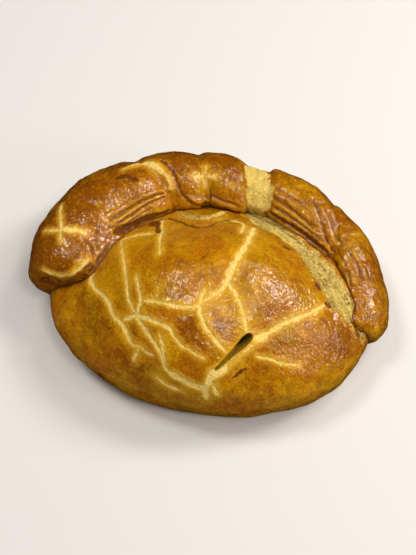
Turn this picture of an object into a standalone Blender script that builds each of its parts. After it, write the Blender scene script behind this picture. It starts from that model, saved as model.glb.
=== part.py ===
"""A plump hand-crimped pasty, lying on its flat baked base.

Units are metres and +Z is up. X runs along the pasty, from the crimp's left end to its right end. +Y is the
crimped edge and -Y the folded one. The origin is the centre of the bounding box, on the base.
"""

from math import atan2, cos, degrees, exp, hypot, pi, radians, sin

import bmesh
import bpy
from mathutils import Matrix, Vector, noise

# The filled body, seen from above, is an egg about its highest point, with a half length and a depth each way.
BODY_CENTRE = (0.003, -0.0045)
BODY_LEFT_LENGTH = 0.0705
BODY_RIGHT_LENGTH = 0.068
BODY_BACK_DEPTH = 0.050
BODY_FRONT_DEPTH = 0.0455
BODY_SQUARENESS = 2.05
BODY_HEIGHT = 0.054

# The dome's section each way: 1 is a half circle, and less lets it slope away to the crimp or to an end.
FRONT_FULLNESS = 1.0
LEFT_FULLNESS = 0.48
RIGHT_FULLNESS = 0.62
BACK_FULLNESS = 0.42

# The body's widest line stands this high, and below it the crust turns in to a flat base.
RIM_HEIGHT_FRONT = 0.019
RIM_HEIGHT_BACK = 0.015
FLAT_BASE_SHARE = 0.62

# Lumps of filling push the crust up and out by this much.
LUMP_SIZE = 0.030
LUMP_DEPTH = 0.0018
LUMP_SEED = Vector((3.1, 7.4, 1.9))

# The rolled edge's outer side follows this line. The roll is fat at its left end and thin at its right.
CRIMP_LEFT_LENGTH = 0.0795
CRIMP_RIGHT_LENGTH = 0.0785
CRIMP_DEPTH = 0.0675
CRIMP_LEFT_SQUARENESS = 2.15
CRIMP_RIGHT_SQUARENESS = 1.95
CRIMP_HEIGHT_MIDDLE = 0.0215
CRIMP_HEIGHT_LEFT = 0.0210
CRIMP_HEIGHT_RIGHT = 0.0165
CRIMP_RADIUS_LEFT = 0.0215
CRIMP_RADIUS_RIGHT = 0.0132
CRIMP_FLATNESS = 1.0
CRIMP_CLEARANCE = 0.002

# Each fold of the roll: its two ends in degrees round the edge (0 is right, 180 is left), its size against the
# roll's, how far its inner side runs ahead of its outer side at each end in degrees, and how blunt its first end
# is: 2 is a half circle. Between the split fold and the torn fold the roll has burst down to its core.
FOLDS = (
    ("end_fold", 188, 144, 0.99, 0, 14, 4.6),
    ("long_fold", 174, 116, 1.02, 6, 25, 2.6),
    ("middle_fold", 128, 98, 1.00, 20, 7, 2.6),
    ("split_fold", 106, 79.5, 1.00, 6, 16, 2.6),
    ("torn_fold", 72, 32, 1.00, 16, 44, 4.5),
    ("right_fold", 40, 3, 1.02, 40, 20, 3.0),
    ("tail_fold", 20, -8, 0.96, 16, 8, 2.6),
)
CORE = (177, 0, 0.74, 0, 0, 2.6)
LAST_END_BLUNTNESS = 3.8
FOLD_TAPER = 0.06

# The pastry's cut edge shows as a lip along each fold's inner side, this far above the side's middle.
LIP_ANGLE = 30
GROOVE_ANGLE = 5
LIP_SPREAD = 12
LIP_SIZE = 0.07
GROOVE_SIZE = 0.05

# Where the roll has torn away from the crust, bare dough lies a little lower.
TEAR_ENDS = (76, -4)
TEAR_FROM_CENTRE = 0.73
TEAR_HALF_WIDTH = 0.055
TEAR_DEPTH = 0.0022

# The steam slit: a wedge-shaped cut in the front of the crust, wider at its upper end.
SLIT_CENTRE = (0.0170, -0.0325)
SLIT_LENGTH = 0.020
SLIT_WIDTH = 0.0040
SLIT_NARROW_END = 0.35
SLIT_DEPTH = 0.0050
SLIT_TURN = radians(50)

BODY_DETAIL = 5
FOLD_SIDES = 24
FOLD_RINGS = 14
CORE_RINGS = 40


def between(low, high, share):
    """The value at this share of the way from low to high."""
    return low + (high - low) * share


def bump(value, middle, spread):
    """1 at the middle, falling off smoothly to 0 each way."""
    return exp(-(((value - middle) / spread) ** 2))


def outline_radius(angle, half_length, depth, squareness):
    """How far a rounded outline lies from its centre, in one direction."""
    along = abs(cos(angle)) / half_length
    across = abs(sin(angle)) / depth
    return (along**squareness + across**squareness) ** (-1 / squareness)


def body_radius(angle):
    half_length = BODY_RIGHT_LENGTH if cos(angle) > 0 else BODY_LEFT_LENGTH
    depth = BODY_BACK_DEPTH if sin(angle) > 0 else BODY_FRONT_DEPTH
    return outline_radius(angle, half_length, depth, BODY_SQUARENESS)


def dome_rise(angle, level):
    """How far up the dome a point of the ball lies, from 0 to 1: a mix of a half circle and a bell."""
    across = BACK_FULLNESS if sin(angle) > 0 else FRONT_FULLNESS
    along = RIGHT_FULLNESS if cos(angle) > 0 else LEFT_FULLNESS
    return between(level**4, level, between(along, across, sin(angle) ** 2))


def rim_height(angle):
    """Height of the body's widest line: higher at the fold than under the crimp."""
    return between(RIM_HEIGHT_FRONT, RIM_HEIGHT_BACK, (sin(angle) + 1) / 2)


def lump(point):
    """How far the filling pushes the crust out here."""
    return LUMP_DEPTH * noise.noise(point / LUMP_SIZE + LUMP_SEED)


def tear(angle, share):
    """How much of the tear's depth lies at this place on the dome, from 0 to 1."""
    first, last = TEAR_ENDS
    middle, half = (first + last) / 2, (first - last) / 2
    along = max(0.0, 1 - ((degrees(angle) - middle) / half) ** 4)
    return along * bump(share, TEAR_FROM_CENTRE, TEAR_HALF_WIDTH)


def body_point(ball):
    """Takes a point of a unit ball to the filled body: a dome above its widest line, a flat base below."""
    angle = atan2(ball.y, ball.x)
    share = hypot(ball.x, ball.y)
    rim = rim_height(angle)
    if ball.z >= 0:
        height = between(rim, BODY_HEIGHT, dome_rise(angle, ball.z))
    else:
        height = rim * (1 - sin(pi / 2 * min(1.0, -ball.z / FLAT_BASE_SHARE)))
    reach = share * body_radius(angle)
    place = Vector((BODY_CENTRE[0] + reach * cos(angle), BODY_CENTRE[1] + reach * sin(angle), height))
    if height > 0:
        above_base = min(1.0, height / rim)
        place += Vector((ball.x, ball.y, max(ball.z, 0))) * lump(place) * above_base
    if ball.z > 0:
        place.z -= TEAR_DEPTH * tear(angle, share)
    return place


def crimp_edge(angle):
    """A point of the line that the roll's outer side follows."""
    if cos(angle) > 0:
        reach = outline_radius(angle, CRIMP_RIGHT_LENGTH, CRIMP_DEPTH, CRIMP_RIGHT_SQUARENESS)
        end_height = CRIMP_HEIGHT_RIGHT
    else:
        reach = outline_radius(angle, CRIMP_LEFT_LENGTH, CRIMP_DEPTH, CRIMP_LEFT_SQUARENESS)
        end_height = CRIMP_HEIGHT_LEFT
    height = between(end_height, CRIMP_HEIGHT_MIDDLE, max(0.0, sin(angle)))
    return Vector((reach * cos(angle), reach * sin(angle), height))


def crimp_place(turn):
    """The roll's middle, its outward direction and its radius, at an angle round the pasty in degrees."""
    angle = radians(turn)
    step = radians(0.5)
    along = crimp_edge(angle - step) - crimp_edge(angle + step)
    outward = Vector((-along.y, along.x, 0)).normalized()
    radius = between(CRIMP_RADIUS_RIGHT, CRIMP_RADIUS_LEFT, ((1 - cos(angle)) / 2) ** 3)
    return crimp_edge(angle) - outward * radius, outward, radius


def fold_section(ball):
    """The fold's radius here against a plain round one: a lip along its inner side, and a groove under it."""
    round_from_inside = degrees(atan2(ball.y, -ball.x))
    lip = LIP_SIZE * bump(round_from_inside, LIP_ANGLE, LIP_SPREAD)
    groove = GROOVE_SIZE * bump(round_from_inside, GROOVE_ANGLE, LIP_SPREAD)
    return 1 + lip - groove


def fold_point(ball, first, last, size, first_lead, last_lead, first_bluntness):
    """Takes a point of a unit ball, whose axis is Z, to one fold of the roll.

    The fold runs from first to last, is blunt and full at its last end, where it laps over the next one,
    and usually thinner at its first, which is tucked in.
    """
    blunt = LAST_END_BLUNTNESS if ball.z > 0 else first_bluntness
    round_end = max(1e-9, 1 - ball.z**2) ** 0.5
    full_end = max(0.0, 1 - abs(ball.z) ** blunt) ** (1 / blunt)
    swell = size * (1 + FOLD_TAPER * ball.z) * fold_section(ball) * full_end / round_end
    share = (ball.z + 1) / 2
    lead = between(first_lead, last_lead, share) * ball.x / 2
    middle, outward, radius = crimp_place(between(first, last, share) + lead)
    place = middle + outward * (radius * swell * ball.x)
    place.z = max(CRIMP_CLEARANCE, place.z + CRIMP_FLATNESS * radius * swell * ball.y)
    return place


def part_object(name, mesh, collection):
    obj = bpy.data.objects.new(name, mesh)
    collection.objects.link(obj)
    return obj


def moved_ball(name, bm, mapping):
    """The mesh of a ball whose points a mapping has moved into place."""
    for vertex in bm.verts:
        vertex.co = mapping(vertex.co.copy())
    bmesh.ops.recalc_face_normals(bm, faces=bm.faces)
    mesh = bpy.data.meshes.new(name)
    bm.to_mesh(mesh)
    bm.free()
    return mesh


def make_body(collection):
    bm = bmesh.new()
    bmesh.ops.create_icosphere(bm, subdivisions=BODY_DETAIL, radius=1)
    return part_object("pasty", moved_ball("pasty", bm, body_point), collection)


def make_fold(name, form, collection, rings=FOLD_RINGS):
    bm = bmesh.new()
    bmesh.ops.create_uvsphere(bm, u_segments=FOLD_SIDES, v_segments=rings, radius=1)
    return part_object(name, moved_ball(name, bm, lambda ball: fold_point(ball, *form)), collection)


def make_slit_cutter(body, collection):
    """A leaf-shaped blade that stands in the crust, square to it."""
    bm = bmesh.new()
    bmesh.ops.create_uvsphere(bm, u_segments=16, v_segments=8, radius=1)
    for vertex in bm.verts:
        wedge = between(SLIT_NARROW_END, 1.0, (vertex.co.x + 1) / 2)
        vertex.co.x *= SLIT_LENGTH / 2
        vertex.co.y *= SLIT_WIDTH / 2 * wedge
        vertex.co.z *= SLIT_DEPTH
    mesh = bpy.data.meshes.new("slit_cutter")
    bm.to_mesh(mesh)
    bm.free()
    cutter = part_object("slit_cutter", mesh, collection)
    above = Vector((*SLIT_CENTRE, 2 * BODY_HEIGHT))
    _, spot, normal, _ = body.ray_cast(above, Vector((0, 0, -1)))
    tilt = Vector((0, 0, 1)).rotation_difference(normal).to_matrix().to_4x4()
    cutter.matrix_world = Matrix.Translation(spot) @ tilt @ Matrix.Rotation(SLIT_TURN, 4, "Z")
    cutter.hide_render = True
    cutter.display_type = "WIRE"


def add_boolean(obj, operation, others):
    boolean = obj.modifiers.new(operation.lower(), "BOOLEAN")
    boolean.operation = operation
    boolean.operand_type = "COLLECTION"
    boolean.collection = others
    boolean.solver = "EXACT"


def apply_modifiers(obj):
    """Gives the object the mesh that its modifiers make."""
    graph = bpy.context.evaluated_depsgraph_get()
    mesh = bpy.data.meshes.new_from_object(obj.evaluated_get(graph))
    obj.modifiers.clear()
    obj.data = mesh


def remove_collection(collection):
    for obj in list(collection.objects):
        bpy.data.objects.remove(obj)
    bpy.data.collections.remove(collection)


def centre_on_base(obj):
    """Moves the mesh so that the origin is the centre of its bounding box, on its base."""
    points = [vertex.co for vertex in obj.data.vertices]
    low = Vector(min(point[i] for point in points) for i in range(3))
    high = Vector(max(point[i] for point in points) for i in range(3))
    middle = (low + high) / 2
    obj.data.transform(Matrix.Translation((-middle.x, -middle.y, -low.z)))


def crust_material():
    """Egg-washed, golden-brown pastry."""
    material = bpy.data.materials.new("glazed_crust")
    material.use_nodes = True
    shader = material.node_tree.nodes["Principled BSDF"]
    shader.inputs["Base Color"].default_value = (0.42, 0.19, 0.015, 1)
    shader.inputs["Roughness"].default_value = 0.38
    shader.inputs["Metallic"].default_value = 0
    return material


def new_collection(name):
    collection = bpy.data.collections.new(name)
    bpy.context.scene.collection.children.link(collection)
    return collection


for old in list(bpy.data.objects):
    bpy.data.objects.remove(old)

parts = new_collection("pasty_parts")
folds = new_collection("folds")
cutters = new_collection("cutters")

pasty = make_body(parts)
make_fold("core", CORE, folds, rings=CORE_RINGS)
for fold_name, *fold_form in FOLDS:
    make_fold(fold_name, fold_form, folds)

bpy.context.view_layer.update()
make_slit_cutter(pasty, cutters)
add_boolean(pasty, "UNION", folds)
add_boolean(pasty, "DIFFERENCE", cutters)
apply_modifiers(pasty)
remove_collection(folds)
remove_collection(cutters)

centre_on_base(pasty)
pasty.data.materials.clear()
pasty.data.materials.append(crust_material())
pasty.data.shade_smooth()
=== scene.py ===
"""A plump, hand-crimped pasty with an egg-washed crust, seen on a plain pale table.

Units are metres and +Z is up, in the part's own frame: the origin is the middle of the pasty's box, on its
base. A pixel is one of the photograph's 416 by 555, counted from its upper left corner.
"""

from math import atan2, cos, degrees, exp, hypot, pi, radians, sin

import bmesh
import bpy
import numpy as np
from mathutils import Matrix, Vector, noise
from mathutils.bvhtree import BVHTree
from mathutils.kdtree import KDTree


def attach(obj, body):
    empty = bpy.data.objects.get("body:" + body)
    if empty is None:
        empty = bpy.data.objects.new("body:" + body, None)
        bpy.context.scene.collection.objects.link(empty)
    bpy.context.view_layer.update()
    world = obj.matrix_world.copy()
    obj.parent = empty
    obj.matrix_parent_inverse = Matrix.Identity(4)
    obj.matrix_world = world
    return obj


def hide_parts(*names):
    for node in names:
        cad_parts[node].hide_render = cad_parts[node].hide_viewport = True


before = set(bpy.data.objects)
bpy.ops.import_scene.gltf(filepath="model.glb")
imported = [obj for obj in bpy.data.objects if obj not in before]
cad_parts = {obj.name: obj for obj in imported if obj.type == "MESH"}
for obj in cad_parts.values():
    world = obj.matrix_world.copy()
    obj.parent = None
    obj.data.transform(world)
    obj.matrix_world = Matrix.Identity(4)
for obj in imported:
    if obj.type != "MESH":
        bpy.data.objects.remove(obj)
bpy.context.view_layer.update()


# The camera. It looks down on the pasty from the front and a little from the right, as the photograph does,
# from the same distance and with the same slight roll. Its lens is longer, so the pasty fills the frame.
PHOTO_MIDDLE = (208, 277.5)
PHOTO_FOCAL_LENGTH = 416
PHOTO_LONG_SIDE = 555
SENSOR_LONG_SIDE = 36
VIEW_AZIMUTH = radians(14)
VIEW_ELEVATION = radians(66)
VIEW_ROLL = radians(4)
VIEW_DISTANCE = 0.372
LOOKED_AT = Vector((0.0005, -0.0025, 0.025))
LOOKED_AT_PIXEL = (193.5, 289)
ENLARGEMENT = 2.1
NEAREST_SEEN = 0.01

VIEW_BACK = Vector(
    (sin(VIEW_AZIMUTH) * cos(VIEW_ELEVATION), -cos(VIEW_AZIMUTH) * cos(VIEW_ELEVATION), sin(VIEW_ELEVATION))
)
CAMERA_PLACE = LOOKED_AT + VIEW_BACK * VIEW_DISTANCE


def pixel_offset(pixel):
    """How far a pixel lies right of the photograph's middle and below it, in focal lengths."""
    aside = (pixel[0] - PHOTO_MIDDLE[0]) / PHOTO_FOCAL_LENGTH
    below = (pixel[1] - PHOTO_MIDDLE[1]) / PHOTO_FOCAL_LENGTH
    return aside, below


def camera_axes(pixel):
    """Right, down and forward for a camera that sees the point looked at in this pixel of the frame."""
    forward = -VIEW_BACK
    level = forward.cross(Vector((0, 0, 1))).normalized()
    under = forward.cross(level)
    right = level * cos(VIEW_ROLL) + under * sin(VIEW_ROLL)
    down = under * cos(VIEW_ROLL) - level * sin(VIEW_ROLL)
    aside, below = pixel_offset(pixel)
    forward = (forward - right * aside - down * below).normalized()
    right = (right - forward * right.dot(forward)).normalized()
    return right, forward.cross(right), forward


def sight_line(pixel):
    """The direction in which the photograph's camera sees this pixel."""
    right, down, forward = camera_axes(LOOKED_AT_PIXEL)
    aside, below = pixel_offset(pixel)
    return (forward + right * aside + down * below).normalized()


def make_camera():
    right, down, forward = camera_axes(PHOTO_MIDDLE)
    camera = bpy.data.objects.new("camera", bpy.data.cameras.new("camera"))
    bpy.context.scene.collection.objects.link(camera)
    turn = Matrix((right, -down, -forward)).transposed().to_4x4()
    camera.matrix_world = Matrix.Translation(CAMERA_PLACE) @ turn
    camera.data.lens = PHOTO_FOCAL_LENGTH * ENLARGEMENT * SENSOR_LONG_SIDE / PHOTO_LONG_SIDE
    camera.data.clip_start = NEAREST_SEEN
    bpy.context.scene.camera = camera


make_camera()


# The filled body. A round of shortcrust pastry is folded over the filling, so the crust follows its lumps.
# It is washed with egg and baked on a flat tray: the top is glazed, golden and crazed with pale splits, and
# the base is flat, matt and browner.
BODY_CENTRE = (0.003, -0.0045)
BODY_LEFT_LENGTH = 0.0705
BODY_RIGHT_LENGTH = 0.068
BODY_BACK_DEPTH = 0.050
BODY_FRONT_DEPTH = 0.0455
BODY_SQUARENESS = 2.05
BODY_HEIGHT = 0.054
FRONT_FULLNESS = 1.0
LEFT_FULLNESS = 0.48
RIGHT_FULLNESS = 0.62
BACK_FULLNESS = 0.42
RIM_HEIGHT_FRONT = 0.019
RIM_HEIGHT_BACK = 0.015
FLAT_BASE_SHARE = 0.62
LUMP_SIZE = 0.030
LUMP_DEPTH = 0.0018
LUMP_SEED = Vector((3.1, 7.4, 1.9))
TEAR_ENDS = (76, -4)
TEAR_FROM_CENTRE = 0.73
TEAR_HALF_WIDTH = 0.055
TEAR_DEPTH = 0.0022

# The outlines are drawn about a point that lies here in the part's frame.
OUTLINE_ORIGIN = Vector((0.00065, -0.0087, 0))

# The ball that the crust is shaped from, and how close to a drawn line its faces are halved, twice over.
BALL_DETAIL = 7
FINE_BANDS = (0.0012, 0.0004)

# Splits in the crust: each one's width, and the pixels that it runs through.
SPLITS = (
    (0.0018, (138.5, 286.5), (137, 290), (139, 294)),
    (0.0012, (139, 294), (146, 300), (147, 305), (150, 309), (153, 312), (155, 317), (157, 321)),
    (0.0008, (157, 321), (161, 322), (158, 328.5)),
    (0.0007, (161, 322), (164, 325), (167, 326.5)),
    (0.0009, (152, 272), (153, 278), (154, 286), (155, 294), (155.5, 300), (159, 306.5)),
    (0.0009, (159, 288), (160.5, 294), (161.5, 300), (160, 307)),
    (0.0022, (158.5, 307.2), (160, 307.5), (161.5, 308)),
    (0.0011, (153, 309.5), (156, 308), (160, 307.5), (166, 309), (172, 311.5), (175, 313), (177, 317)),
    (0.0008, (177, 317), (181, 322)),
    (0.0012, (159.5, 308), (162, 312), (166, 318), (170, 323), (172, 328), (173, 332), (175, 334.5)),
    (0.0010, (170.5, 316.5), (172, 322), (173, 330)),
    (0.0024, (175, 334), (180, 337), (186, 341), (192, 342.5), (194, 339), (196, 335), (197.5, 333)),
    (0.0020, (193, 342.5), (192.5, 347)),
    (0.0013, (196, 340), (198, 345)),
    (0.0016, (196, 336), (200, 334.5), (202, 331)),
    (0.0009, (163, 300), (169, 300.5), (174, 301.5), (180, 303), (186, 303), (189, 302)),
    (0.0009, (192, 295), (190, 300), (189.5, 304), (191, 310), (194, 315), (198, 320), (202, 324)),
    (0.0022, (215.5, 265.5), (212, 274), (207, 281)),
    (0.0014, (207, 281), (204, 288), (201, 294)),
    (0.0006, (201, 294), (196, 297.5), (192, 300)),
    (0.0007, (203, 291), (207, 297), (209, 302), (211, 308)),
    (0.0013, (211, 308), (212, 314), (213.5, 317.5)),
    (0.0028, (213.5, 318), (218, 318), (222, 315.5)),
    (0.0015, (222, 315.5), (231, 310), (239, 307)),
    (0.0012, (239, 307), (244, 305), (249, 302)),
    (0.0006, (217, 326.5), (224, 328), (229, 330), (237, 331)),
    (0.0005, (181, 321.5), (187, 325.5), (192, 327.5)),
    (0.0008, (169, 337), (173, 340), (180, 343.5)),
    (0.0009, (172, 261), (171.5, 266), (170.5, 271), (171, 278)),
    (0.0008, (152, 271.5), (158, 269), (167, 268)),
    (0.0009, (198, 263), (203, 261.5), (209.5, 263), (211, 265), (209, 268)),
)
SPLIT_DEPTH = 0.00015
WIDEST_GROOVE = 0.0012
NARROW_GROOVE_SHARE = 0.6
GROOVE_GROWTH = 0.0008
SPLIT_LIP = 0.00012
SPLIT_LIP_PLACE = 0.0009
SPLIT_LIP_SPREAD = 0.0005

# Every drawn line has its corners cut at these shares of a stretch. It wanders and thickens over these
# distances, has a point at each step, and thins towards its ends.
CORNER_CUTS = (0.25, 0.75)
LINE_WANDER = 0.00035
LONG_WANDER_SIZE = 0.004
SHORT_WANDER_SIZE = 0.0013
SHORT_WANDER_SHARE = 0.6
FINE_THICKNESS_SIZE = 0.0025
FINE_THICKNESS = 0.5
COARSE_THICKNESS_SIZE = 0.008
COARSE_THICKNESS = 0.3
LEAST_THICKNESS = 0.4
LINE_STEP = 0.0004
LINE_TAPER = 0.002
LINE_END_THINNING = 0.6
PLACES_AT_ONCE = 4000

# noise_vector takes its seed from the clock unless it is set, and every run has to draw the same lines.
LINE_SEED = 7
noise.seed_set(LINE_SEED)

# Where the crust is browner than elsewhere, or more golden if the share is below 0: pixel, reach and share.
# Some, low on the body's sides, darken where the crust turns from the light: painted shade.
BROWN_AND_SHADE_PATCHES = (
    (141.5, 301, 0.0035, 0.7), (134, 298, 0.005, 0.35), (142, 313, 0.006, 0.5), (153, 327, 0.006, 0.5),
    (162, 336, 0.006, 0.5), (157, 315.5, 0.003, 0.6), (166, 321, 0.003, 0.6), (184, 311, 0.006, 0.7),
    (181, 319, 0.005, 0.6), (198, 314, 0.0065, 0.55), (190, 327, 0.006, 0.4), (177.5, 299, 0.0018, 0.7),
    (178, 290, 0.008, 0.2), (228, 297, 0.010, 0.25), (240, 318, 0.008, 0.05), (188, 278, 0.006, 0.2),
    (160, 278, 0.009, -0.3), (180, 270, 0.010, -0.3), (205, 275, 0.008, -0.2), (197, 300, 0.005, -0.3),
    (166, 296, 0.006, -0.3), (182, 330, 0.006, -0.15), (222, 323, 0.008, 0.6), (258, 318, 0.010, 0.7),
    (200, 290, 0.008, 0.15), (237, 300, 0.008, 0.05), (148, 300, 0.010, 0.15), (215, 343, 0.010, 0.2),
)

# Bare dough where the roll has pulled away from the crust: pixels, each with the strip's width there.
TORN_STRIPS = (
    ((211.5, 257.5, 0.0070), (218, 261.3, 0.0092), (225.3, 265.8, 0.0092), (231, 270.5, 0.0094),
     (236.8, 276, 0.0104), (241.8, 281.5, 0.0116), (247.3, 288, 0.0122), (252.3, 294.5, 0.0114),
     (257.5, 301, 0.0096), (261.5, 307, 0.0060), (264.5, 312, 0.0030), (267, 320, 0.0014)),
    ((179, 258, 0.0010), (183, 259.6, 0.0032), (188, 261, 0.0042), (193, 261, 0.0042), (198, 259.6, 0.0032),
     (202, 258, 0.0014)),
)
TORN_DEPTH = 0.0007
TORN_LIP = 0.0005
TORN_LIP_PLACE = 0.0008
TORN_LIP_SPREAD = 0.0008

# The torn dough's fibres, each kind with its share, its width, its length and its seed.
FIBRE_DEPTH = 0.00035
FIBRES = ((0.5, 0.0012, 0.0030, 0), (1.0, 0.0026, 0.0080, 5))

# How far apart the bites along a torn edge are, and how deep.
BITE_SIZE = 0.0035
BITE_DEPTH = 0.0013

# Thin dark places, each with its width: crevices, and spots where juice has come through and burnt.
# The dark of the crevices is painted shade.
DARK_LINES = (
    (0.0011, (174, 260.5), (179, 261.8), (184, 264), (189, 265.4), (194, 264.7), (198, 262.7), (204, 261.3)),
    (0.0007, (204, 261.3), (209, 262), (212, 263.2)),
    (0.0018, (153, 268), (159, 265), (165, 263), (170, 261.5), (175, 260.5)),
    (0.0040, (167.5, 262.5), (169, 264.5)),
    (0.0022, (169, 264.5), (170, 267.5)),
    (0.0026, (244.8, 291.5), (246.2, 294)),
    (0.0028, (229.5, 274.3), (232, 275.2)),
    (0.0024, (249.5, 301.5), (252, 303)),
    (0.0010, (205.5, 337.3), (211.5, 332.7)),
    (0.0012, (262, 309), (264, 313), (266.5, 318)),
)
DARK_DEPTH = 0.00045

# The steam slit, from its wide upper end to its narrow lower one, and the flap that lifts beside it.
SLIT_ENDS = ((212.9, 317.6), (197.2, 332.9))
SLIT_WIDE = 0.0036
SLIT_NARROW = 0.0013
SLIT_DEPTH = 0.0050
FLAP_LIFT = 0.0011
FLAP_WIDTH = 0.0052
FLAP_OFFSET = 0.0012
FLAP_ROOT = 0.001
SLIT_UNEVENNESS = 0.2

# The distances outside a place's edge, and inside it where below 0, between which its wall falls.
SPLIT_WALL = (0.0004, -0.0003)
DARK_WALL = (0.0003, -0.0003)
STRIP_WALL = (0.0003, -0.0006)
SLIT_CUT = (0.0002, -0.0010)

# Where the photograph doesn't show the crust it is crazed too, in plates of about this size, but in patches.
# What counts is how much a place faces the camera, how high it lies, and a pattern that leaves parts out.
PLATE_SIZE = 0.019
PLATE_GAP = 0.0005
PLATE_WANDER_SIZE = 0.006
PLATE_WANDER = 0.0022
NO_LINE_NEAR = 0.006
COVER_SIZE = 0.02
SKIRT_FACING = (0.34, 0.12)
SKIRT_HEIGHTS = (0.0005, 0.004)
SKIRT_COVER = (-0.3, 0)

# Small relief on the whole crust: how far apart its swellings are, and how high.
SWELLINGS = ((0.011, 0.00050), (0.0055, 0.00026), (0.0026, 0.00011), (0.0014, 0.00004))

# The crust's colours, as the screen shows them, of 255.
GOLDEN = (200, 142, 6)
AMBER = (178, 108, 2)
TOASTED = (132, 70, 2)
BURNT = (92, 40, 4)
OLIVE_GOLD = (176, 128, 4)
PALE_GOLD = (222, 166, 22)
HALO = (224, 174, 54)
CREAM = (246, 214, 120)
BARE_DOUGH = (218, 186, 92)
GREY_DOUGH = (172, 146, 72)
FLECK = (88, 68, 18)
SLIT_WALL = (136, 104, 12)
# Painted shadow, near black, deep in the steam slit.
SLIT_SHADOW = (34, 28, 8)
BASE_BROWN = (168, 108, 42)
BASE_DARK = (112, 62, 20)
BASE_FLOURY = (204, 160, 96)

# The patterns in the crust: how far apart each one's spots are.
CLOUD_SIZE = 0.014
OLIVE_SIZE = 0.021
MOTTLE_SIZE = 0.0042
GRAIN_SIZE = 0.0010
CRUMB_SIZE = 0.0014
LEAF_SIZE = 0.0007
LEAF_SQUEEZE = (0.35, 0.35, 1)
SHEEN_SIZE = 0.0028
FOLD_SIZE = 0.0034
BLISTER_SIZE = 0.0017

# How far the edges of splits, of torn dough and of dark places stray, in millimetres.
STRAY_SIZE = 0.0011
SPLIT_STRAY = 1.1
TORN_STRAY = 3.0
DARK_STRAY = 1.2

# The glaze, the dry places and the relief of the crust's skin.
GLAZE_TINT = (1.0, 0.75, 0.44, 1.0)
GLAZE_SHINE = 0.28
GLAZE_ROUGHNESS = (0.24, 0.36)
GLAZE_COAT = 0.80
GLAZE_COAT_ROUGHNESS = 0.09
DRY_ROUGHNESS = 0.80
DULL_SHARE = 0.7
SKIN_RELIEF = 0.0010
MILLIMETRES = 1000


def between(low, high, share):
    """The value at this share of the way from low to high."""
    return low + (high - low) * share


def bump(value, middle, spread):
    """1 at the middle, falling off smoothly to 0 each way."""
    return exp(-(((value - middle) / spread) ** 2))


def smooth_share(value, start, end):
    """0 before the start, 1 after the end, and smoothly between them; also for arrays."""
    share = np.clip((value - start) / (end - start), 0, 1)
    return share * share * (3 - 2 * share)


def outline_radius(angle, half_length, depth, squareness):
    """How far a rounded outline lies from its centre, in one direction."""
    along = abs(cos(angle)) / half_length
    across = abs(sin(angle)) / depth
    return (along**squareness + across**squareness) ** (-1 / squareness)


def body_radius(angle):
    half_length = BODY_RIGHT_LENGTH if cos(angle) > 0 else BODY_LEFT_LENGTH
    depth = BODY_BACK_DEPTH if sin(angle) > 0 else BODY_FRONT_DEPTH
    return outline_radius(angle, half_length, depth, BODY_SQUARENESS)


def dome_rise(angle, level):
    """How far up the dome a point of the ball lies, from 0 to 1: a mix of a half circle and a bell."""
    across = BACK_FULLNESS if sin(angle) > 0 else FRONT_FULLNESS
    along = RIGHT_FULLNESS if cos(angle) > 0 else LEFT_FULLNESS
    return between(level**4, level, between(along, across, sin(angle) ** 2))


def tear(angle, share):
    """How much of the tear's depth lies at this place on the dome, from 0 to 1."""
    first, last = TEAR_ENDS
    middle, half = (first + last) / 2, (first - last) / 2
    along = max(0.0, 1 - ((degrees(angle) - middle) / half) ** 4)
    return along * bump(share, TEAR_FROM_CENTRE, TEAR_HALF_WIDTH)


def body_point(ball):
    """Takes a point of a unit ball to the filled body: a dome above its widest line, a flat base below."""
    angle = atan2(ball.y, ball.x)
    share = hypot(ball.x, ball.y)
    rim = between(RIM_HEIGHT_FRONT, RIM_HEIGHT_BACK, (sin(angle) + 1) / 2)
    if ball.z >= 0:
        height = between(rim, BODY_HEIGHT, dome_rise(angle, ball.z))
    else:
        height = rim * (1 - sin(pi / 2 * min(1.0, -ball.z / FLAT_BASE_SHARE)))
    reach = share * body_radius(angle)
    place = Vector((BODY_CENTRE[0] + reach * cos(angle), BODY_CENTRE[1] + reach * sin(angle), height))
    if height > 0:
        lump = LUMP_DEPTH * noise.noise(place / LUMP_SIZE + LUMP_SEED)
        place += Vector((ball.x, ball.y, max(ball.z, 0))) * lump * min(1.0, height / rim)
    if ball.z > 0:
        place.z -= TEAR_DEPTH * tear(angle, share)
    return place


def seen_at(pixel, form):
    """The point of a form that shows at a pixel of the photograph."""
    place = form.ray_cast(CAMERA_PLACE, sight_line(pixel))[0]
    return place


def rounded(stops):
    """The stops of a line with each of its corners cut off."""
    cut = [stops[0]]
    for (start, start_half), (end, end_half) in zip(stops, stops[1:]):
        for share in CORNER_CUTS:
            cut.append((start.lerp(end, share), between(start_half, end_half, share)))
    return [*cut, stops[-1]]


def unevenness(place):
    """How a drawn line wanders at a place, and how much thicker it is there."""
    wander = noise.noise_vector(place / LONG_WANDER_SIZE + LUMP_SEED)
    wander += noise.noise_vector(place / SHORT_WANDER_SIZE) * SHORT_WANDER_SHARE
    thickness = FINE_THICKNESS * noise.noise(place / FINE_THICKNESS_SIZE)
    thickness += COARSE_THICKNESS * noise.noise(place / COARSE_THICKNESS_SIZE + LUMP_SEED)
    return wander, thickness


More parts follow.
